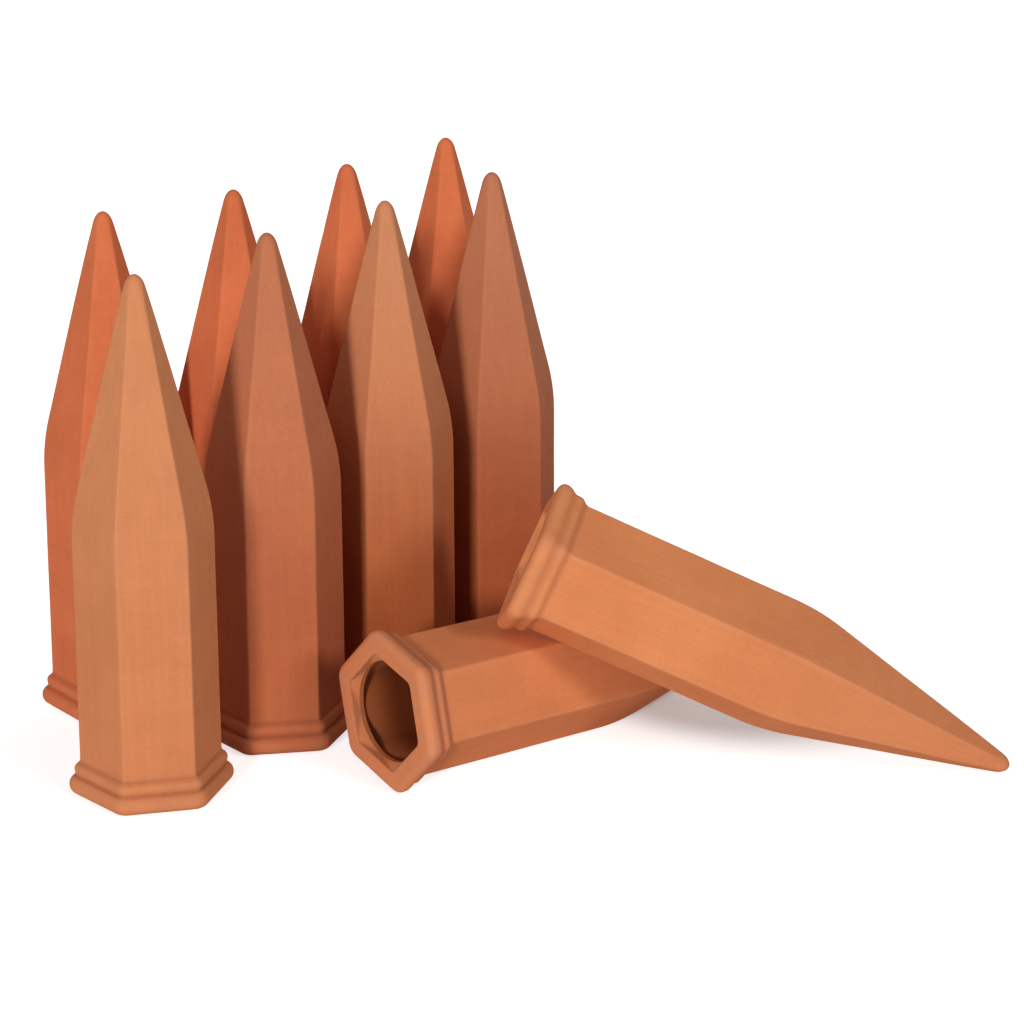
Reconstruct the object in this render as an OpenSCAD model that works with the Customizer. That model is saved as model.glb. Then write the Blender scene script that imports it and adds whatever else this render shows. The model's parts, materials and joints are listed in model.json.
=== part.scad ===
// Ten terracotta watering spikes, set out as a display: four stand in a front row and four in a
// back row, mouth down, one lies on the floor and one leans across it with its tip on the floor.
// Each spike is one hollow piece of fired clay. Its mouth takes the neck of an upturned bottle.
// Millimetres, +Z up. The origin is the centre of the set's footprint, on the floor.

/* [Spike] */
// Length from the rim of the mouth to the tip
spike_l = 178; // [160:1:200]
// Body across its flats, where it leaves the collar
body_af = 41.6; // [40:0.2:44]
// How much narrower the body is at the shoulder, where the taper starts
shoulder_narrowing = 0.6; // [0:0.1:1.2]
// Distance of the shoulder from the rim
shoulder_z = 97; // [80:1:110]
// Length over which the shoulder is rounded
shoulder_bend = 18; // [8:1:30]
// Radius of the body's six corners
corner_r = 1.2; // [0.8:0.1:2.4]
// Diameter of the round tip
tip_d = 7.6; // [6.6:0.1:9]
// Height of the rounded tip, from its widest to its end
tip_l = 6.4; // [4.5:0.1:8]
// Thickness of the clay wall
wall = 3.2; // [2.6:0.1:3.4]

/* [Collar] */
// How far the rim bead stands out from the body, on each side
rim_bead_out = 4.1; // [3.4:0.1:5]
// Radius of the rim bead's six corners, seen along the axis
collar_corner_r = 6.5; // [5:0.1:8]
// Height of the rim bead
rim_bead_h = 6.6; // [5.6:0.1:7.6]
// Height of the smaller bead above it
upper_bead_h = 4.2; // [3.6:0.1:5.2]
// How far the upper bead stands out from the body
upper_bead_out = 2.1; // [1.6:0.1:2.6]
// Depth of the groove between the two beads, below the upper bead
groove_depth = 0.4; // [0.3:0.1:0.8]
// Height of the hollow curve from the upper bead up to the body
fillet_h = 1.6; // [1:0.1:3]

/* [Mouth] */
// Six-sided opening across its flats
opening_af = 34.6; // [34.2:0.2:36]
// Radius of the opening's corners
opening_corner_r = 2.4; // [1:0.1:4]
// Rounding of the opening's edge
opening_edge_r = 0.8; // [0.6:0.1:1.4]
// Depth of the six-sided lip inside the opening
lip_depth = 3.6; // [2.4:0.1:5]
// Diameter of the round throat that a bottle's neck passes
throat_d = 34; // [31:0.2:34.2]
// Length of the round throat
throat_l = 1.2; // [1:0.1:4]
// How far the hollow widens behind the throat
undercut = 0.8; // [0.6:0.1:1.4]
// Length over which it narrows again to the wall's own inside
undercut_l = 8; // [5:0.5:12]

/* [Arrangement] */
// Room between the collars of spikes that stand side by side, part of their spacing
stand_gap = 0.8; // [0.6:0.1:10]
// Gap that is left where one spike rests on another
rest_gap = 0.3; // [0.2:0.1:1]
// Front row, left to right: places across the set, in spacings of one collar and one gap
front_x = [-2.375, -1.6, -0.855, -0.14]; // [-2.5:0.005:-0.1]
// Front row: places in depth, away from the viewer
front_y = [-1.98, -1.02, -0.225, 0.515]; // [-2.1:0.005:0.6]
// Back row, left to right: places across the set
back_x = [-2.725, -1.895, -1.15, -0.475]; // [-2.8:0.005:-0.4]
// Back row: places in depth
back_y = [-0.495, 0.06, 0.735, 1.48]; // [-0.6:0.005:1.6]
// Turn of each front spike about its own axis
front_turn_angle = [13, 10, 13, 18]; // [0:1:30]
// Turn of each back spike about its own axis
back_turn_angle = [9, 9, 12, 11]; // [0:1:30]
// Place of the lying spike's mouth: across and in depth
lying_at = [-0.85, -2]; // [-2.1:0.005:-0.7]
// Direction in which the lying spike points
lying_dir_angle = 38; // [35:0.5:41]
// Roll of the lying spike about its own axis
lying_roll_angle = 163; // [156:1:170]
// Where along the lying spike the leaning spike's mouth is
lean_along = 55; // [50:0.5:60]
// How far the leaning spike's mouth is to the right of the lying spike's axis
lean_side = 7.5; // [4:0.5:10]
// Direction in which the leaning spike points
lean_dir_angle = -5.5; // [-10:0.5:-1]
// Roll of the leaning spike about its own axis
lean_roll_angle = 176; // [170:1:180]

/* [Hidden] */

// Half sizes, from the axis to the flats
body_a = body_af / 2;
shoulder_a = body_a - shoulder_narrowing / 2;
collar_a = body_a + rim_bead_out;
opening_a = opening_af / 2;
throat_r = throat_d / 2;
tip_r = tip_d / 2;
body_z = rim_bead_h + upper_bead_h + fillet_h;

// The taper is the line from the shoulder that touches the tip, which is a stretched half ball.
// It is found with the stretch taken out, where the tip is a true half ball.
tip_stretch = tip_l / tip_r;
tip_centre_z = spike_l - tip_l;
tip_run = (tip_centre_z - shoulder_z) / tip_stretch;
tip_angle = atan(shoulder_a / tip_run) - asin(tip_r / norm([tip_run, shoulder_a]));
taper_angle = atan(tan(tip_angle) / tip_stretch);
taper_end_z = tip_centre_z + tip_l * sin(tip_angle);
taper_end_a = tip_r * cos(tip_angle);

function body_line(z) = body_a + (shoulder_a - body_a) * (z - body_z) / (shoulder_z - body_z);
function taper_line(z) = shoulder_a - (z - shoulder_z) * tan(taper_angle);
function bend(z) = pow(z - shoulder_z + shoulder_bend / 2, 2) / (2 * shoulder_bend);
body_slope = (shoulder_a - body_a) / (shoulder_z - body_z);

// Distance of the outer flats from the axis at height z, above the collar
function outer_a(z) =
    z < shoulder_z - shoulder_bend / 2 ? body_line(z)
    : z > shoulder_z + shoulder_bend / 2 ? taper_line(z)
    : body_line(z) - (tan(taper_angle) + body_slope) * bend(z);

// The corners stay crisp along the taper, soften at its end and are a full circle on the tip
taper_softening = 8;
end_roundness = 0.8;
function taper_share(z) = max(0, (z - shoulder_z) / (taper_end_z - shoulder_z));
function outer_c(z) =
    corner_r + (end_roundness * taper_end_a - corner_r) * pow(taper_share(z), taper_softening);

// A level section with six rounded corners: three points on each corner, flats between them
function section(a, c, z) = [
    for (k = [0:5], t = [-30, 0, 30])
        [(a - c) / cos(30) * cos(60 * k) + c * cos(60 * k + t),
         (a - c) / cos(30) * sin(60 * k) + c * sin(60 * k + t), z]
];
function round_section(r, z) = section(r, r, z);

// Rings of the outside, from the rim to the tip
rim_r = rim_bead_h / 2;
upper_r = upper_bead_h / 2;
upper_a = body_a + upper_bead_out;
collar_share = (collar_corner_r - corner_r) / rim_bead_out;
function collar_c(a) = corner_r + collar_share * max(0, a - body_a);
function collar_ring(a, z) = section(a, collar_c(a), z);
rim_bead_rings = [
    for (t = [-90, -58, -26, 8, 40, 66])
        collar_ring(collar_a - rim_r * (1 - cos(t)), rim_r * (1 + sin(t)))
];
groove_rings = [collar_ring(upper_a - groove_depth, rim_bead_h)];
upper_bead_rings = [
    for (t = [-25, 10, 45, 70])
        collar_ring(upper_a - upper_r * (1 - cos(t)), rim_bead_h + upper_r * (1 + sin(t)))
];
fillet_out = 0.25 * upper_bead_out;
fillet_rings = [
    for (s = [0.15, 0.5, 1])
        collar_ring(body_a + fillet_out * pow(1 - s, 2), body_z - fillet_h * (1 - s))
];
shoulder_rings = [
    for (s = [-0.5, -0.25, 0, 0.25, 0.5])
        let(z = shoulder_z + s * shoulder_bend) section(outer_a(z), outer_c(z), z)
];
taper_start_z = shoulder_z + shoulder_bend / 2;
taper_rings = [
    for (s = [0.4, 0.7, 0.88, 0.96])
        let(z = taper_start_z + s * (taper_end_z - taper_start_z)) section(outer_a(z), outer_c(z), z)
];
tip_top_angle = 65;
function tip_roundness(t) =
    end_roundness + (1 - end_roundness) * (t - tip_angle) / (tip_top_angle - tip_angle);
tip_rings = [
    for (t = [tip_angle, 40, tip_top_angle])
        let(a = tip_r * cos(t)) section(a, a * tip_roundness(t), tip_centre_z + tip_l * sin(t))
];

// Rings of the inside, from the closed end of the hollow to the rim
hollow_end_r = 2.2;
hollow_c = 5;
wall_across = wall / cos(taper_angle);
hollow_end_z = shoulder_z + (shoulder_a - wall_across - hollow_end_r) / tan(taper_angle);
throat_z = lip_depth + throat_l;
throat_cut = 0.5;
step_h = 0.7;
undercut_c = 7;
function inner_ring(z) =
    let(a = outer_a(z) - wall) section(a, min(a, hollow_c), z);
hollow_rings = concat(
    [round_section(hollow_end_r, hollow_end_z)],
    [for (s = [0.7, 0.35, 0.12])
        let(z = shoulder_z + s * (hollow_end_z - shoulder_z), a = taper_line(z) - wall_across)
            section(a, min(a, hollow_c), z)],
    [inner_ring(shoulder_z - shoulder_bend / 2), inner_ring(throat_z + undercut_l)],
    [for (z = [throat_z + undercut_l / 3, throat_z + step_h])
        section(throat_r + undercut, undercut_c, z)]
);
mouth_rings = concat(
    [round_section(throat_r - throat_cut, throat_z), round_section(throat_r - throat_cut, lip_depth)],
    [for (t = [0, 45, 90])
        section(opening_a + opening_edge_r * (1 - cos(t)),
                opening_corner_r + opening_edge_r * (1 - cos(t)), opening_edge_r * (1 - sin(t)))]
);

// The whole skin is one loft: out of the hollow, round the rim and up to the tip
rings = concat(hollow_rings, mouth_rings, rim_bead_rings, groove_rings, upper_bead_rings,
               fillet_rings, shoulder_rings, taper_rings, tip_rings);
ring_n = len(rings[0]);
hollow_apex = [0, 0, hollow_end_z + hollow_end_r];
tip_apex = [0, 0, spike_l];
skin_points = concat([hollow_apex], [for (r = rings) for (p = r) p], [tip_apex]);
last = len(skin_points) - 1;
function corner(ring, i) = 1 + ring * ring_n + i % ring_n;
skin_faces = concat(
    [for (i = [0:ring_n - 1]) [0, corner(0, i), corner(0, i + 1)]],
    [for (r = [0:len(rings) - 2], i = [0:ring_n - 1])
        [corner(r, i), corner(r + 1, i), corner(r + 1, i + 1), corner(r, i + 1)]],
    [for (i = [0:ring_n - 1]) [last, corner(len(rings) - 1, i + 1), corner(len(rings) - 1, i)]]
);

// A pose is [place of the mouth's centre, tilt from upright, direction, roll]
function turned(p, angle) =
    [p.x * cos(angle) - p.y * sin(angle), p.x * sin(angle) + p.y * cos(angle), p.z];
function tilted(p, angle) =
    [p.x * cos(angle) + p.z * sin(angle), p.y, p.z * cos(angle) - p.x * sin(angle)];
function swung(p, tilt, dir, roll) = turned(tilted(turned(p, roll), tilt), dir);
function placed(p, pose) = pose[0] + swung(p, pose[1], pose[2], pose[3]);

// Standing spikes
spacing = 2 * collar_a + stand_gap;
function standing(x, y, turn) = [[x * spacing, y * spacing, 0], 0, 0, turn];
front_poses = [for (k = [0:3]) standing(front_x[k], front_y[k], front_turn_angle[k])];
back_poses = [for (k = [0:3]) standing(back_x[k], back_y[k], back_turn_angle[k])];

// The lying spike rests on one corner of its collar and one of its shoulder
function corner_reach(a, c) = (a - c) / cos(30) + c;
lying_down = max([for (k = [0:5]) cos(60 * k + lying_roll_angle)]);
lying_slope = atan(lying_down * (corner_reach(collar_a, collar_corner_r)
    - corner_reach(shoulder_a, corner_r)) / (shoulder_z - rim_r));
lying_low = min([for (p = skin_points) swung(p, 90 + lying_slope, lying_dir_angle, lying_roll_angle).z]);
lying_pose = [[lying_at.x * spacing, lying_at.y * spacing, -lying_low],
              90 + lying_slope, lying_dir_angle, lying_roll_angle];

// The leaning spike is raised until its underside clears the lying spike by the gap.
// A probe is a point on its lowest corner or on the flats beside it.
lying_flats = [
    for (t = [0:30:330])
        swung([cos(t), sin(t), 0], lying_pose[1], lying_dir_angle, lying_roll_angle)
];
lying_reach = [for (k = [0:11]) k % 2 == 1 ? body_a : corner_reach(body_a, corner_r)];
function off_lying(p) =
    max([for (k = [0:11]) (p - lying_pose[0]) * lying_flats[k] - lying_reach[k]]);
function section_r(a, c, phi) =
    let(off = abs((phi % 60 + 60) % 60 - 30), e = (a - c) / cos(30), d = 30 - off,
        edge = atan((a - c) * tan(30) / a))
    off < edge ? a / cos(off) : e * cos(d) + sqrt(c * c - pow(e * sin(d), 2));
probe_n = 28;
probe_rows = concat(
    [[collar_a, rim_r / 2], [collar_a, rim_r], [collar_a, 1.5 * rim_r],
     [upper_a, rim_bead_h + upper_r], [body_a + fillet_out, body_z - fillet_h]],
    [for (k = [0:probe_n]) let(z = body_z + k / probe_n * (shoulder_z - body_z)) [body_line(z), z]]
);
probes = [
    for (row = probe_rows, t = [-36:4:36])
        let(phi = t - lean_roll_angle, r = section_r(row[0], collar_c(row[0]), phi))
            [r * cos(phi), r * sin(phi), row[1]]
];
lean_mouth = lying_pose[0] + lean_along * [cos(lying_dir_angle), sin(lying_dir_angle), 0]
    + lean_side * [sin(lying_dir_angle), -cos(lying_dir_angle), 0];
tip_points = [for (r = tip_rings) for (p = r) p];
function lean_low(slope) =
    min([for (p = tip_points) swung(p, 90 + slope, lean_dir_angle, lean_roll_angle).z]);
function lean_pose(slope) =
    [[lean_mouth.x, lean_mouth.y, -lean_low(slope)], 90 + slope, lean_dir_angle, lean_roll_angle];
function lean_clear(slope) =
    let(pose = lean_pose(slope)) min([for (p = probes) off_lying(placed(p, pose))]);
function lean_slope(low, high, steps) =
    steps == 0 ? high
    : let(mid = (low + high) / 2)
        lean_clear(mid) < rest_gap ? lean_slope(mid, high, steps - 1) : lean_slope(low, mid, steps - 1);
leaning_pose = lean_pose(lean_slope(10, 50, 16));

// The set is centred on its footprint
poses = concat(front_poses, back_poses, [lying_pose, leaning_pose]);
reach = [for (pose = poses) for (p = skin_points) placed(p, pose)];
reach_x = [for (p = reach) p.x];
reach_y = [for (p = reach) p.y];
footprint = [(min(reach_x) + max(reach_x)) / 2, (min(reach_y) + max(reach_y)) / 2, 0];

// One fired-clay spike, mouth at z = 0 and tip up, with its round throat cut true
module spike() {
    difference() {
        polyhedron(points = skin_points, faces = skin_faces, convexity = 6);
        translate([0, 0, -1]) cylinder(h = throat_z + step_h + 1, r = throat_r, $fn = 72);
    }
}

module at_pose(pose) {
    translate(pose[0] - footprint) rotate([0, pose[1], pose[2]]) rotate([0, 0, pose[3]]) children();
}

module front_spike_1() { color("#D98A5B") at_pose(front_poses[0]) spike(); }
module front_spike_2() { color("#BF6C48") at_pose(front_poses[1]) spike(); }
module front_spike_3() { color("#C57446") at_pose(front_poses[2]) spike(); }
module front_spike_4() { color("#B3633F") at_pose(front_poses[3]) spike(); }
module back_spike_1() { color("#D06A42") at_pose(back_poses[0]) spike(); }
module back_spike_2() { color("#D06A42") at_pose(back_poses[1]) spike(); }
module back_spike_3() { color("#D06A42") at_pose(back_poses[2]) spike(); }
module back_spike_4() { color("#D06A42") at_pose(back_poses[3]) spike(); }
module lying_spike() { color("#C97850") at_pose(lying_pose) spike(); }
module leaning_spike() { color("#D6844F") at_pose(leaning_pose) spike(); }

front_spike_1();
front_spike_2();
front_spike_3();
front_spike_4();
back_spike_1();
back_spike_2();
back_spike_3();
back_spike_4();
lying_spike();
leaning_spike();
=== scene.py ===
import json
import math

import bpy
import numpy as np
from mathutils import Matrix, Vector, noise


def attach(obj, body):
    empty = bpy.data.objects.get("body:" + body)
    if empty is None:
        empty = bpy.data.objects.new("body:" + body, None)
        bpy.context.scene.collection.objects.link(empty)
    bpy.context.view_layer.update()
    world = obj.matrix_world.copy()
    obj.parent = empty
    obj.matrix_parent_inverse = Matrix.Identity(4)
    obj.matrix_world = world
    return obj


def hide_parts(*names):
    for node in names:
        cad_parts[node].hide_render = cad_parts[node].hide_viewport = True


# Ten terracotta watering spikes: eight stand mouth down in two rows, one lies on the floor and
# one leans on it. Each CAD node is replaced by a finer mesh of the same spike.

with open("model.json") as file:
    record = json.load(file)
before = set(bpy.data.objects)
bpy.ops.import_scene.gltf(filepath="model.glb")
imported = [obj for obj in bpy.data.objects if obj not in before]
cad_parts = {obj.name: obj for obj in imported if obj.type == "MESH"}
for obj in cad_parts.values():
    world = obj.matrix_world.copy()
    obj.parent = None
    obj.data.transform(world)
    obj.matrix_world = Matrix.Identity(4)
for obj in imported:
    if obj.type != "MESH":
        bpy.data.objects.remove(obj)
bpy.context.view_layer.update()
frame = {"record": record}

# ------------------------------------------------------------ sizes of a spike
# Millimetres, as in the part's source. A half size runs from the axis to the flats.
MM = 0.001
SPIKE_L = 178.0
BODY_A = 20.8
SHOULDER_A = 20.5
SHOULDER_Z = 97.0
SHOULDER_BEND = 18.0
CORNER_R = 1.2
TIP_R = 3.8
TIP_L = 6.4
WALL = 3.2

RIM_BEAD_H = 6.6
UPPER_BEAD_H = 4.2
UPPER_BEAD_OUT = 2.1
RIM_BEAD_OUT = 4.1
COLLAR_CORNER_R = 6.5
GROOVE_DEPTH = 0.4
FILLET_H = 1.6
FILLET_OUT = 0.25 * UPPER_BEAD_OUT

OPENING_A = 17.3
OPENING_CORNER_R = 2.4
OPENING_EDGE_R = 0.8
LIP_DEPTH = 3.6
LIP_OVERLAP = 0.5
THROAT_R = 17.0
THROAT_L = 1.2
UNDERCUT = 0.8
UNDERCUT_L = 8.0
UNDERCUT_C = 7.0
UNDERCUT_FLAT = 0.5
STEP_H = 0.7
HOLLOW_END_R = 2.2
HOLLOW_C = 5.0

# The surface is drawn in by this much, so that no bump stands out of the CAD solid
INSET = 0.1

COLLAR_A = BODY_A + RIM_BEAD_OUT
UPPER_A = BODY_A + UPPER_BEAD_OUT
BODY_Z = RIM_BEAD_H + UPPER_BEAD_H + FILLET_H
THROAT_Z = LIP_DEPTH + THROAT_L
UNDERCUT_WIDE_Z = THROAT_Z + UNDERCUT_L / 3
BORE_END_Z = THROAT_Z + UNDERCUT_L
TIP_CENTRE_Z = SPIKE_L - TIP_L
BEND_LOW, BEND_HIGH = SHOULDER_Z - SHOULDER_BEND / 2, SHOULDER_Z + SHOULDER_BEND / 2
COS30 = math.cos(math.radians(30))

# The taper touches the tip, a stretched half ball; it is found with the stretch taken out
STRETCH = TIP_L / TIP_R
RUN = (TIP_CENTRE_Z - SHOULDER_Z) / STRETCH
TIP_ANGLE = math.atan(SHOULDER_A / RUN) - math.asin(TIP_R / math.hypot(RUN, SHOULDER_A))
TAPER = math.atan(math.tan(TIP_ANGLE) / STRETCH)
TAPER_END_Z = TIP_CENTRE_Z + TIP_L * math.sin(TIP_ANGLE)
TAPER_END_A = TIP_R * math.cos(TIP_ANGLE)
BODY_SLOPE = (SHOULDER_A - BODY_A) / (SHOULDER_Z - BODY_Z)

# The corners stay crisp along the taper and melt into the tip's circle: how round they are at
# the taper's end, how late they get there, and the tip's angle at which the section is a circle
END_ROUNDNESS = 0.8
END_LATENESS = 8
TIP_TOP = math.radians(65)


def body_line(z):
    return BODY_A + BODY_SLOPE * (z - BODY_Z)


def taper_line(z):
    return SHOULDER_A - (z - SHOULDER_Z) * math.tan(TAPER)


def outer_a(z):
    """Half size of the outside above the collar."""
    if z < BEND_LOW:
        return body_line(z)
    if z > BEND_HIGH:
        return taper_line(z)
    return body_line(z) - (math.tan(TAPER) + BODY_SLOPE) * (z - BEND_LOW) ** 2 / (2 * SHOULDER_BEND)


def outer_c(z):
    """Corner radius of the outside above the collar."""
    share = max(0.0, (z - SHOULDER_Z) / (TAPER_END_Z - SHOULDER_Z))
    return CORNER_R + (END_ROUNDNESS * TAPER_END_A - CORNER_R) * share**END_LATENESS


def collar_c(a):
    """Corner radius of the collar, which grows with how far it stands out."""
    return CORNER_R + (COLLAR_CORNER_R - CORNER_R) / RIM_BEAD_OUT * max(0.0, a - BODY_A)


# -------------------------------------------------------------- the loft's rows
# How many rows each stretch of the skin gets: outside from the rim to the tip, then inside
# from the hollow's end to the rim
RIM_ROWS, UPPER_ROWS, FILLET_ROWS = 19, 13, 8
BODY_ROWS, BEND_ROWS, TAPER_ROWS, TIP_ROWS = 26, 10, 26, 12
END_ROWS, HOLLOW_ROWS, UNDERCUT_ROWS, STEP_ROWS = 5, 12, 5, 5
THROAT_ROWS, LIP_ROWS, EDGE_ROWS = 5, 9, 7

# Angles, in degrees, over which the beads and the two ends are drawn
RIM_ARC = (-90, 66)
UPPER_ARC = (-25, 72)
TIP_ARC = (math.degrees(TIP_ANGLE), 84)
END_ARC = (80, 10)

# The groove: rows as (up from its middle, out from its bottom)
GROOVE = ((-0.25, 0.15), (0.0, 0.0), (0.25, 0.15))
# The rim's own first rows keep their shape when the collar is softened
CRISP_ROWS = 8
# The flat rim between the opening's edge and the rim bead: shares of its width
RIM_FACE = (0.35, 0.7)
# The throat's straight rows start this far in front of the step and reach this far into the lip
THROAT_GAP, LIP_REACH = 0.15, 0.3

# How much the clay is worn on the crests, and how deep in shadow its creases and the mouth are
RIM_WEAR, UPPER_WEAR, TIP_WEAR, LIP_WEAR, POLE_WEAR = 0.9, 0.8, 0.2, 0.3, 0.6
FILLET_CREASE, UNDERCUT_CREASE, CORNER_CREASE, STEP_CREASE = 0.9, 0.2, 0.6, 0.8
THROAT_INNER, LIP_INNER = 0.6, 0.45


def steps(low, high, n):
    """n even steps from low to high, with both ends."""
    return [low + (high - low) * k / (n - 1) for k in range(n)]


def between(low, high, n):
    """n even steps between low and high, without the ends."""
    return [low + (high - low) * (k + 1) / (n + 1) for k in range(n)]


def row(a, c, z, crest=0.0, crease_shade=0.0, inner=0.0):
    """One ring: half size, corner radius, height, how much it is a crest, how much painted shade
    its crease gets, and how much it is inside.
    """
    return a, c, z, crest, crease_shade, inner


def soften(rows, rounds):
    """Rounds the profile's inner creases, so that the collar looks thrown, or worn, and not cut."""
    p = np.array(rows)
    for _ in range(rounds):
        p[1:-1] = 0.25 * p[:-2] + 0.5 * p[1:-1] + 0.25 * p[2:]
    return [tuple(r) for r in p]


def outside_rows(worn):
    """The rows from the rim's flat face to the tip."""
    rim_r, upper_r = RIM_BEAD_H / 2, UPPER_BEAD_H / 2
    rows = []
    for t in steps(*RIM_ARC, RIM_ROWS):
        r = math.radians(t)
        a = COLLAR_A - rim_r * (1 - math.cos(r))
        rows.append(row(a, collar_c(a), rim_r * (1 + math.sin(r)), crest=RIM_WEAR * math.cos(r)))
    for up, out in GROOVE:
        a = UPPER_A - GROOVE_DEPTH + out
        rows.append(row(a, collar_c(a), RIM_BEAD_H + up, crease_shade=1.0))
    for t in steps(*UPPER_ARC, UPPER_ROWS):
        r = math.radians(t)
        a = UPPER_A - upper_r * (1 - math.cos(r))
        z = RIM_BEAD_H + upper_r * (1 + math.sin(r))
        rows.append(row(a, collar_c(a), z, crest=UPPER_WEAR * math.cos(r) ** 4))
    for s in steps(0.1, 1.0, FILLET_ROWS):
        a = BODY_A + FILLET_OUT * (1 - s) ** 2
        z = BODY_Z - FILLET_H * (1 - s)
        rows.append(row(a, collar_c(a), z, crease_shade=FILLET_CREASE * (1 - s)))
    rows = rows[:CRISP_ROWS] + soften(rows[CRISP_ROWS:], worn)

    heights = between(BODY_Z, BEND_LOW, BODY_ROWS)
    heights += steps(BEND_LOW, BEND_HIGH, BEND_ROWS)
    heights += between(BEND_HIGH, TAPER_END_Z, TAPER_ROWS)
    for z in heights:
        rows.append(row(outer_a(z), outer_c(z), z))
    for t in steps(*TIP_ARC, TIP_ROWS):
        r = math.radians(t)
        a = TIP_R * math.cos(r)
        share = min(1.0, (r - TIP_ANGLE) / (TIP_TOP - TIP_ANGLE))
        c = a * (END_ROUNDNESS + (1 - END_ROUNDNESS) * share)
        rows.append(row(a, c, TIP_CENTRE_Z + TIP_L * math.sin(r), crest=TIP_WEAR))
    return rows


def inside_rows():
    """The rows from the hollow's end, through the throat and round the lip, to the rim."""
    across = WALL / math.cos(TAPER)
    end_z = SHOULDER_Z + (SHOULDER_A - across - HOLLOW_END_R) / math.tan(TAPER)
    rows = []
    for t in steps(*END_ARC, END_ROWS):
        r = math.radians(t)
        a = HOLLOW_END_R * math.cos(r)
        rows.append(row(a, a, end_z + HOLLOW_END_R * math.sin(r), inner=1.0))
    for z in steps(end_z, SHOULDER_Z, HOLLOW_ROWS):
        a = taper_line(z) - across
        rows.append(row(a, min(a, HOLLOW_C), z, inner=1.0))
    for z in steps(BEND_LOW, BORE_END_Z, HOLLOW_ROWS):
        a = outer_a(z) - WALL
        rows.append(row(a, min(a, HOLLOW_C), z, inner=1.0))

    wide_a, bore_a = THROAT_R + UNDERCUT, outer_a(BORE_END_Z) - WALL
    for s in steps(0.2, 1.0, UNDERCUT_ROWS):
        a = bore_a + (wide_a - bore_a) * s
        c = HOLLOW_C + (UNDERCUT_C - HOLLOW_C) * s
        z = BORE_END_Z + (UNDERCUT_WIDE_Z - BORE_END_Z) * s
        rows.append(row(a, c, z, crease_shade=UNDERCUT_CREASE * s, inner=1.0))
    corner_z = THROAT_Z + STEP_H + UNDERCUT_FLAT
    rows.append(row(wide_a, UNDERCUT_C, corner_z, crease_shade=CORNER_CREASE, inner=1.0))
    for s in steps(0.0, 1.0, STEP_ROWS):
        a = wide_a + (THROAT_R - wide_a) * s
        c = UNDERCUT_C + (THROAT_R - UNDERCUT_C) * s
        z = THROAT_Z + STEP_H * (1 - s)
        rows.append(row(a, c, z, crease_shade=STEP_CREASE, inner=1.0 - 0.3 * s))
    for z in steps(THROAT_Z - THROAT_GAP, LIP_DEPTH - LIP_REACH, THROAT_ROWS):
        rows.append(row(THROAT_R, THROAT_R, z, inner=THROAT_INNER))

    lip_low = LIP_DEPTH - LIP_OVERLAP
    for s in steps(0.0, 1.0, LIP_ROWS):
        a = THROAT_R + (OPENING_A - THROAT_R) * s
        c = THROAT_R + (OPENING_CORNER_R - THROAT_R) * s
        z = lip_low + (OPENING_EDGE_R - LIP_DEPTH + LIP_OVERLAP) * s
        crest = LIP_WEAR if s < 0.15 else 0.0
        rows.append(row(a, c, z, crest=crest, inner=LIP_INNER * (1 - s)))
    for t in steps(0, 90, EDGE_ROWS)[1:]:
        r = math.radians(t)
        out = OPENING_EDGE_R * (1 - math.cos(r))
        z = OPENING_EDGE_R * (1 - math.sin(r))
        crest = LIP_WEAR * math.sin(2 * r)
        rows.append(row(OPENING_A + out, OPENING_CORNER_R + out, z, crest=crest))
    for s in RIM_FACE:
        edge_a = OPENING_A + OPENING_EDGE_R
        a = edge_a + s * (COLLAR_A - RIM_BEAD_H / 2 - OPENING_A - OPENING_EDGE_R)
        rows.append(row(a, OPENING_CORNER_R + OPENING_EDGE_R, 0.0))
    return rows


# -------------------------------------------------------------- a spike's mesh
# Polar angles of one ring, close together where the corners are
CORNER_STEPS = (0.0, 0.8, 1.6, 2.5, 3.6, 5.2, 7.5, 11.0, 15.0, 20.0, 25.0, 30.0)
RING = np.array(sorted(
    {(60 * k + s * t) % 360 for k in range(6) for t in CORNER_STEPS for s in (-1, 1)}
))
# How wide the worn band on a corner is, in degrees
ARRIS_WIDTH = 3.2
# How far the middle of the hollow's end stands past its last row
HOLLOW_POLE = 0.03

# The hand-made surface: length and depth of its slow waves and small lumps, and the dents, which
# lie on the collar or above it
WAVE_LENGTH, WAVE_DEPTH = 26.0, 0.16
LUMP_LENGTH, LUMP_DEPTH = 6.5, 0.05
DENTS = 14
DENT_HEIGHTS = ((0, 12), (14, 160))
DENT_SIZE = (1.2, 3.2)
DENT_DEPTH = (0.05, 0.16)
FIRST_SEED = 100
# Moves each spike to its own place in the noise, times its seed
WAVE_SHIFT = (17.3, 5.1, 9.7)


def ring_radius(a, c, phi):
    """Radius, at each polar angle, of a hexagon with half size a and corners rounded by c."""
    off = np.abs(phi % 60 - 30)
    centre = (a - c) / COS30
    edge = np.degrees(np.arctan((a - c) * math.tan(math.radians(30)) / a))
    d = np.radians(30 - off)
    arc = centre * np.cos(d) + np.sqrt(np.maximum(c * c - (centre * np.sin(d)) ** 2, 0.0))
    return np.where(off < edge, a / np.cos(np.radians(off)), arc)


def arris(c, a, phi):
    """1 on crisp corners, fading over the first few degrees, and 0 where the section is round."""
    off = 30 - np.abs(phi % 60 - 30)
    return np.exp(-((off / ARRIS_WIDTH) ** 2)) * float(np.clip(1.25 - 1.1 * c / a, 0.0, 1.0))


def skin_faces(rings, n):
    """Quads between rings of n points each, and a fan at both ends to one last point each."""
    faces = []
    for k in range(rings - 1):
        for i in range(n):
            j = (i + 1) % n
            faces.append((k * n + i, k * n + j, (k + 1) * n + j, (k + 1) * n + i))
    first, last = rings * n, rings * n + 1
    top = (rings - 1) * n
    for i in range(n):
        j = (i + 1) % n
        faces.append((first, j, i))
        faces.append((last, top + i, top + j))
    return faces


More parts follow.
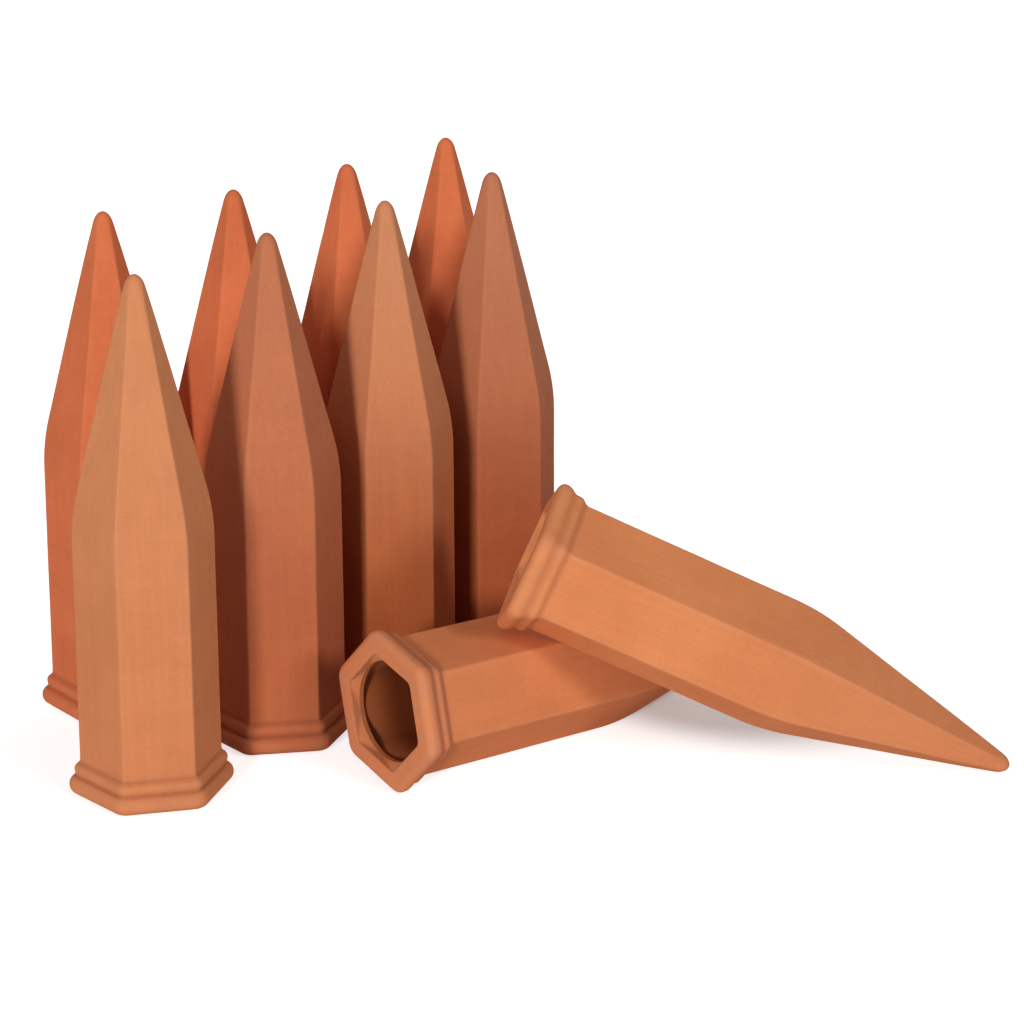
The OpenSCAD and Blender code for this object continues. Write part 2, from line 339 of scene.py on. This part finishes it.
def uneven(co, seed):
    """How far each point sinks, in millimetres: slow waves, small lumps and a few dents."""
    shift = Vector([seed * step for step in WAVE_SHIFT])
    rng = np.random.RandomState(FIRST_SEED + seed)
    out = np.empty(len(co))
    for k, p in enumerate(co):
        v = Vector(p)
        slow = 0.5 + 0.5 * noise.noise(v / WAVE_LENGTH + shift)
        lump = 0.5 + 0.5 * noise.noise(v / LUMP_LENGTH + shift)
        out[k] = INSET + WAVE_DEPTH * slow + LUMP_DEPTH * lump
    for _ in range(DENTS):
        z = rng.choice([rng.uniform(*heights) for heights in DENT_HEIGHTS])
        angle = rng.uniform(0, 2 * math.pi)
        a = COLLAR_A if z < BODY_Z else outer_a(z)
        ring_crease_shade = np.array([a * math.cos(angle), a * math.sin(angle), z])
        size, depth = rng.uniform(*DENT_SIZE), rng.uniform(*DENT_DEPTH)
        far = np.sum((co - ring_crease_shade) ** 2, 1) / size**2
        out += depth * np.exp(-far)
    return out


def add_values(mesh, name, kind, field, values):
    layer = mesh.attributes.new(name, kind, "POINT")
    layer.data.foreach_set(field, np.asarray(values, dtype=np.float32).ravel())


def spike_mesh(name, pose, worn, seed):
    """A closed skin: out of the hollow, round the rim and up to the tip."""
    rows = inside_rows() + outside_rows(worn)
    n = len(RING)
    phi = np.radians(RING)
    co, wear, crease_shade, inner = [], [], [], []
    for a, c, z, crest, ring_crease_shade, depth in rows:
        r = ring_radius(a, c, RING)
        co.append(np.stack([r * np.cos(phi), r * np.sin(phi), np.full(n, z)], 1))
        wear.append(np.clip(arris(c, a, RING) * (1 - depth) + crest, 0, 1))
        crease_shade.append(np.full(n, ring_crease_shade))
        inner.append(np.full(n, depth))
    # The last two points close the hollow's end and the tip
    co = np.concatenate(co + [[[0, 0, rows[0][2] + HOLLOW_POLE]], [[0, 0, SPIKE_L]]])
    wear = np.concatenate(wear + [[0.0], [POLE_WEAR]])
    crease_shade = np.concatenate(crease_shade + [[0.0], [0.0]])
    inner = np.concatenate(inner + [[1.0], [0.0]])

    mesh = bpy.data.meshes.new(name)
    mesh.from_pydata([tuple(v) for v in co], [], skin_faces(len(rows), n))
    normals = np.zeros(len(co) * 3)
    mesh.vertex_normals.foreach_get("vector", normals)
    shaped = co - normals.reshape(-1, 3) * uneven(co, seed)[:, None]
    shaped[:, 2] = np.clip(shaped[:, 2], 0.0, SPIKE_L)
    world = np.array(pose.to_3x3()) @ (shaped.T * MM) + np.array(pose.translation)[:, None]
    mesh.vertices.foreach_set("co", world.T.ravel())
    mesh.shade_smooth()

    add_values(mesh, "clay_xyz", "FLOAT_VECTOR", "vector", co * MM)
    add_values(mesh, "wear", "FLOAT", "value", wear)
    add_values(mesh, "crease_shade", "FLOAT", "value", crease_shade)
    add_values(mesh, "inner", "FLOAT", "value", inner)
    mesh.update()
    return mesh


# ------------------------------------------------------------------ the clay
# Scales of the noises that mark the clay, from its slow tones to its grain
TONE_SCALE, DUST_SCALE, PATCH_SCALE, RING_SCALE, ROUGH_SCALE = 32, 150, 210, 330, 420
STREAK_SCALE, LUMP_SCALE, SPECK_SCALE, DARK_SCALE, GRAIN_SCALE = 520, 700, 1150, 1300, 2300
# What the noises' space is scaled by for marks along a spike and round it
ALONG, ROUND = (1, 1, 0.035), (0.04, 0.04, 1)
DARK_OFFSET = (0.7, 0.2, 0.9)

DARK_SPECKS = "#5A2A16"
DUST = "#C4866C"
# Painted shade in the creases
CREASE_SHADE = "#7A3A22"
# Painted shade in the hollow, and deeper in it
HOLLOW_SHADE = "#B85A20"
DEEP_HOLLOW_SHADE = "#5E1C00"

# How much each of these covers the clay at most
PALE_SHARE, DARK_SHARE, WORN_SHARE = 0.18, 0.3, 0.1
CREASE_SHADE_SHARE, HOLLOW_SHADE_SHARE, DEEP_SHADE_SHARE = 0.45, 0.45, 0.86
# Factors of the colour along the marks
STREAK_RANGE, RING_RANGE, GRAIN_RANGE = (0.972, 1.02), (0.988, 1.012), (0.94, 1.06)
ROUGHNESS = (0.78, 0.92)
GLOSS = 0.12
# The grain's and the lumps' parts of the bump, its strength and its height in metres
GRAIN_PART, LUMP_PART = 0.55, 0.45
BUMP_STRENGTH, BUMP_HEIGHT = 0.45, 0.00022
CLAY_SHIFT = (0.31, 0.17, 0.23)

# Metres above the rim: where the painted light and shade towards the tip comes in, where the
# collar's dust ends, and where the painted shade in the hollow gets dark
TIP_SHADING_Z = (0.02, 0.16)
DUST_END_Z = (0.0115, 0.0155)
DEEP_SHADE_Z = (0.002, 0.021)


class Nodes:
    """Small helper that adds nodes to one material or world and links them."""

    def __init__(self, tree):
        self.tree = tree
        self.x = 0

    def add(self, kind, **values):
        node = self.tree.nodes.new(kind)
        self.x += 180
        node.location = (self.x, 0)
        for key, value in values.items():
            setattr(node, key, value)
        return node

    def attribute(self, name, output):
        node = self.add("ShaderNodeAttribute", attribute_name=name, attribute_type="GEOMETRY")
        return node.outputs[output]

    def mapped(self, vector, kind, **values):
        node = self.add("ShaderNodeMapping", vector_type=kind)
        self.tree.links.new(vector, node.inputs["Vector"])
        for key, value in values.items():
            node.inputs[key].default_value = value
        return node.outputs["Vector"]

    def noise(self, vector, scale, detail=3.0, rough=0.55):
        node = self.add("ShaderNodeTexNoise")
        self.tree.links.new(vector, node.inputs["Vector"])
        node.inputs["Scale"].default_value = scale
        node.inputs["Detail"].default_value = detail
        node.inputs["Roughness"].default_value = rough
        return node.outputs["Fac"]

    def fit(self, value, low, high, to_low=0.0, to_high=1.0):
        node = self.add("ShaderNodeMapRange", interpolation_type="SMOOTHSTEP")
        self.tree.links.new(value, node.inputs["Value"])
        node.inputs["From Min"].default_value = low
        node.inputs["From Max"].default_value = high
        node.inputs["To Min"].default_value = to_low
        node.inputs["To Max"].default_value = to_high
        return node.outputs["Result"]

    def fill(self, sockets, values):
        """Sets each socket to its number or colour, or links the output that it is given."""
        for socket, value in zip(sockets, values):
            if isinstance(value, (int, float)):
                socket.default_value = value
            elif isinstance(value, tuple):
                socket.default_value = (*value, 1.0)
            else:
                self.tree.links.new(value, socket)

    def maths(self, how, a, b, clamp=False):
        node = self.add("ShaderNodeMath", operation=how, use_clamp=clamp)
        self.fill(node.inputs, (a, b))
        return node.outputs["Value"]

    def mix(self, share, a, b, how="MIX"):
        node = self.add("ShaderNodeMix", data_type="RGBA", blend_type=how)
        # The sockets for colours come after those for numbers and vectors
        self.fill((node.inputs[0], node.inputs[6], node.inputs[7]), (share, a, b))
        return node.outputs[2]

    def seen_share(self):
        """1 for the rays that show the background: the camera's, mirrored and passed ones."""
        path = self.add("ShaderNodeLightPath")
        total = path.outputs["Is Camera Ray"]
        for ray in ("Is Glossy Ray", "Is Transmission Ray"):
            total = self.maths("ADD", total, path.outputs[ray], clamp=True)
        return total


def linear(colour):
    """A colour written as #RRGGBB, in linear light."""
    parts = [int(colour[k:k + 2], 16) / 255 for k in (1, 3, 5)]
    return tuple(p / 12.92 if p < 0.04045 else ((p + 0.055) / 1.055) ** 2.4 for p in parts)


def clay_marks(n, here, along, round_):
    """Streaks, faint rings and grain as one factor of the colour, and the grain for the bump."""
    streak = n.fit(n.noise(along, STREAK_SCALE), 0.3, 0.7, *STREAK_RANGE)
    ring = n.fit(n.noise(round_, RING_SCALE, 2), 0.3, 0.7, *RING_RANGE)
    fine = n.noise(here, GRAIN_SCALE, 3, 0.65)
    grain = n.fit(fine, 0.25, 0.75, *GRAIN_RANGE)
    shade = n.maths("MULTIPLY", n.maths("MULTIPLY", streak, ring), grain)
    grey = n.add("ShaderNodeCombineColor")
    n.fill(grey.inputs, (shade, shade, shade))
    return grey.outputs["Color"], fine


def clay(name, base, second, pale, dusty, tip_shading, tip_shading_share, seed):
    """Fired clay: two slow tones, marks of its making, specks, worn edges and dust; painted shade
    in its creases and hollow, and painted light and shade towards its tip.
    """
    material = bpy.data.materials.new(name)
    material.use_nodes = True
    tree = material.node_tree
    shader = tree.nodes["Principled BSDF"]
    n = Nodes(tree)
    xyz = n.attribute("clay_xyz", "Vector")
    wear = n.attribute("wear", "Fac")
    crease_shade = n.attribute("crease_shade", "Fac")
    inner = n.attribute("inner", "Fac")
    shift = tuple(step * seed for step in CLAY_SHIFT)
    here = n.mapped(xyz, "POINT", Location=shift)
    along = n.mapped(xyz, "POINT", Location=shift, Scale=ALONG)
    round_ = n.mapped(xyz, "POINT", Location=shift, Scale=ROUND)
    split = n.add("ShaderNodeSeparateXYZ")
    tree.links.new(xyz, split.inputs["Vector"])
    height_up = split.outputs["Z"]

    slow = n.fit(n.noise(here, TONE_SCALE), 0.3, 0.7)
    colour = n.mix(slow, linear(base), linear(second))
    # Painted light and shade: with height the colour turns to the tip colour, lighter on the front
    # row and darker on the leaning spike
    colour = n.mix(n.fit(height_up, *TIP_SHADING_Z, 0.0, tip_shading_share), colour, linear(tip_shading))
    marks, fine = clay_marks(n, here, along, round_)
    colour = n.mix(1.0, colour, marks, "MULTIPLY")

    specks = n.fit(n.noise(here, SPECK_SCALE, 2, 0.5), 0.68, 0.76, 0.0, PALE_SHARE)
    colour = n.mix(specks, colour, linear(pale))
    elsewhere = n.mapped(xyz, "POINT", Location=DARK_OFFSET)
    specks = n.fit(n.noise(elsewhere, DARK_SCALE, 2, 0.5), 0.70, 0.78, 0.0, DARK_SHARE)
    colour = n.mix(specks, colour, linear(DARK_SPECKS))

    patchy = n.fit(n.noise(here, PATCH_SCALE), 0.35, 0.65, 0.35, 1.0)
    worn = n.maths("MULTIPLY", n.maths("MULTIPLY", wear, patchy), WORN_SHARE)
    colour = n.mix(worn, colour, linear(pale))
    dust = n.maths("MULTIPLY", n.fit(n.noise(here, DUST_SCALE, 4), 0.35, 0.65), dusty)
    at_collar = n.fit(height_up, *DUST_END_Z, 1.0, 0.0)
    colour = n.mix(n.maths("MULTIPLY", dust, at_collar), colour, linear(DUST))
    # Painted shade: darker in the creases
    colour = n.mix(n.maths("MULTIPLY", crease_shade, CREASE_SHADE_SHARE), colour, linear(CREASE_SHADE))
    # Painted shade: darker inside the mouth and hollow, most of all deep in the hollow
    colour = n.mix(n.maths("MULTIPLY", inner, HOLLOW_SHADE_SHARE), colour, linear(HOLLOW_SHADE))
    deep_shade = n.fit(height_up, *DEEP_SHADE_Z, 0.0, DEEP_SHADE_SHARE)
    colour = n.mix(n.maths("MULTIPLY", inner, deep_shade), colour, linear(DEEP_HOLLOW_SHADE))
    tree.links.new(colour, shader.inputs["Base Color"])

    rough = n.fit(n.noise(here, ROUGH_SCALE, 2), 0.3, 0.7, *ROUGHNESS)
    tree.links.new(rough, shader.inputs["Roughness"])
    shader.inputs["Specular IOR Level"].default_value = GLOSS

    lumps = n.maths("MULTIPLY", n.noise(here, LUMP_SCALE), LUMP_PART)
    bump = n.add("ShaderNodeBump")
    bump.inputs["Strength"].default_value = BUMP_STRENGTH
    bump.inputs["Distance"].default_value = BUMP_HEIGHT
    height = n.maths("ADD", n.maths("MULTIPLY", fine, GRAIN_PART), lumps)
    tree.links.new(height, bump.inputs["Height"])
    tree.links.new(bump.outputs["Normal"], shader.inputs["Normal"])
    return material


# ------------------------------------------------------------- the ten spikes
# name: (turn about its own axis, how worn down its collar is, base colour, second tone,
# pale tone, dust, colour of the painted light and shade towards the tip, its share)
SPIKES = {
    "front_spike_1": (13, 1, "#D68658", "#CD7F53", "#E4A47C", 0.1, "#E39C6E", 0.3),
    "front_spike_2": (10, 1, "#BC6842", "#B4623F", "#D99470", 0.1, "#D99470", 0.32),
    "front_spike_3": (13, 1, "#B66135", "#AC5A31", "#E0996E", 0.1, "#E8A57A", 0.5),
    "front_spike_4": (18, 1, "#A65530", "#9D4D2A", "#CC8460", 0.1, "#DA9470", 0.48),
    "back_spike_1": (9, 1, "#DA764B", "#D06E45", "#E59A74", 0.1, "#E59A74", 0.0),
    "back_spike_2": (9, 1, "#DA764B", "#D06E45", "#E59A74", 0.1, "#E59A74", 0.0),
    "back_spike_3": (12, 1, "#DA764B", "#D06E45", "#E59A74", 0.1, "#E59A74", 0.0),
    "back_spike_4": (11, 1, "#DA764B", "#D06E45", "#E59A74", 0.1, "#E59A74", 0.0),
    "lying_spike": (163, 12, "#DB8656", "#D27E51", "#E3A680", 0.4, "#C97A52", 0.0),
    "leaning_spike": (176, 16, "#E08C59", "#D98453", "#E8AC86", 0.18, "#BE7450", 0.45),
}

MOUNTS = {m["name"]: m for m in frame["record"]["mounts"]}
# Height of the throat's middle above the rim, in metres, where each mouth's mount is
MOUNT_Z = 0.00346
# A spike tilted by less than this, in radians, stands and has no heading
UPRIGHT = 1e-4


def pose_of(node, turn):
    """Where a spike's own frame is, mouth at its origin and tip along +Z, from its mount."""
    mount = MOUNTS[node.replace("_spike", "") + "_mouth"]
    axis = -Vector(mount["axis"]).normalized()
    tilt = math.acos(max(-1.0, min(1.0, axis.z)))
    heading = math.atan2(axis.y, axis.x) if tilt > UPRIGHT else 0.0
    spin = (
        Matrix.Rotation(heading, 4, "Z")
        @ Matrix.Rotation(tilt, 4, "Y")
        @ Matrix.Rotation(math.radians(turn), 4, "Z")
    )
    return Matrix.Translation(Vector(mount["pos_m"]) - axis * MOUNT_Z) @ spin


for seed, (node, (turn, worn, *tones)) in enumerate(SPIKES.items()):
    mesh = spike_mesh(node + "_clay", pose_of(node, turn), worn, seed)
    piece = bpy.data.objects.new(node + "_clay", mesh)
    bpy.context.scene.collection.objects.link(piece)
    mesh.materials.append(clay(node + "_fired_clay", *tones, seed))
    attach(piece, "root")
    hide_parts(node)

# ------------------------------------------------------------------- the floor
FLOOR_HALF = 8.0
FLOOR_Z = -0.0001
PAPER = 0.8
# The floor is white to the camera: a glow makes up for the low light. It is weaker in front,
# where the spikes' soft shadows stay, and stronger behind them, where the photograph shows none.
GLOW_FRONT, GLOW_BACK = 0.71, 0.84
GLOW_Y = (-0.05, 0.03)
# Under the leaning spike it is weaker still, in a soft oval that paints a shadow there: its middle,
# its turn in degrees, its half sizes, how far in from its edge it is darkest, and what is left
OVAL_AT = (0.07, -0.015, 0)
OVAL_TURN = -27
OVAL_HALF = (0.078, 0.043, 1)
OVAL_FADE = 0.6
OVAL_GLOW = 0.25

bpy.ops.mesh.primitive_plane_add(size=2 * FLOOR_HALF, location=(0, 0, FLOOR_Z))
floor = bpy.context.object
floor.name = "studio_floor"
paper = bpy.data.materials.new("white_paper")
paper.use_nodes = True
sheet = paper.node_tree.nodes["Principled BSDF"]
sheet.inputs["Roughness"].default_value = 0.9
sheet.inputs["Specular IOR Level"].default_value = 0.0
sheet.inputs["Base Color"].default_value = (PAPER, PAPER, PAPER, 1)

n = Nodes(paper.node_tree)
place = n.add("ShaderNodeTexCoord").outputs["Object"]
where = n.add("ShaderNodeSeparateXYZ")
paper.node_tree.links.new(place, where.inputs["Vector"])
glow = n.fit(where.outputs["Y"], *GLOW_Y, GLOW_FRONT, GLOW_BACK)
turned = (0, 0, math.radians(OVAL_TURN))
# Painted shadow: the glow is weaker in an oval under the leaning spike
under = n.mapped(place, "TEXTURE", Location=OVAL_AT, Rotation=turned, Scale=OVAL_HALF)
painted_shadow_oval = n.add("ShaderNodeTexGradient", gradient_type="SPHERICAL")
paper.node_tree.links.new(under, painted_shadow_oval.inputs["Vector"])
shade = n.fit(painted_shadow_oval.outputs["Fac"], 0.0, OVAL_FADE, 1.0, OVAL_GLOW)
glow = n.maths("MULTIPLY", n.maths("MULTIPLY", glow, shade), n.seen_share())
sheet.inputs["Emission Color"].default_value = (1, 1, 1, 1)
paper.node_tree.links.new(glow, sheet.inputs["Emission Strength"])
floor.data.materials.append(paper)

# ------------------------------------------------------------------- the light
# What the world lights the object with. To the camera it is white.
DOME = 0.21

world = bpy.data.worlds.new("studio")
bpy.context.scene.world = world
world.use_nodes = True
back = world.node_tree.nodes["Background"]
back.inputs["Color"].default_value = (1, 1, 1, 1)
n = Nodes(world.node_tree)
bright = n.add("ShaderNodeMapRange")
bright.inputs["To Min"].default_value = DOME
bright.inputs["To Max"].default_value = 1.0
world.node_tree.links.new(n.seen_share(), bright.inputs["Value"])
world.node_tree.links.new(bright.outputs["Result"], back.inputs["Strength"])


def sun(name, strength, azimuth, elevation, softness):
    """A soft sun. Azimuth 0 is the camera's side and 90 the viewer's right."""
    lamp = bpy.data.lights.new(name, "SUN")
    lamp.energy = strength
    lamp.angle = math.radians(softness)
    thing = bpy.data.objects.new(name, lamp)
    bpy.context.scene.collection.objects.link(thing)
    a, e = math.radians(azimuth), math.radians(elevation)
    towards = Vector((math.sin(a) * math.cos(e), -math.cos(a) * math.cos(e), math.sin(e)))
    thing.rotation_mode = "QUATERNION"
    thing.rotation_quaternion = (-towards).to_track_quat("-Z", "Y")
    thing.location = towards * 2


sun("left", 1.9, -22, 14, 7)
sun("right", 0.95, 47, 28, 12)
sun("back", 0.9, 172, 8, 30)

# ------------------------------------------------------------------ the camera
PITCH = math.radians(20)
DISTANCE = 1.32
AIM = Vector((-0.00114, 0.01274, 0.0609))
# Focal length in pixels of a picture this wide, and the width of the camera's sensor
FOCAL_PX, PICTURE_PX, SENSOR_MM = 3732, 1024, 36

camera = bpy.data.objects.new("camera", bpy.data.cameras.new("camera"))
bpy.context.scene.collection.objects.link(camera)
camera.data.lens = FOCAL_PX * SENSOR_MM / PICTURE_PX
camera.location = AIM + Vector((0, -math.cos(PITCH), math.sin(PITCH))) * DISTANCE
camera.rotation_euler = (math.radians(90) - PITCH, 0, 0)
camera.data.clip_start = 0.05
camera.data.clip_end = 60
bpy.context.scene.camera = camera

bpy.context.scene.view_settings.view_transform = "Standard"
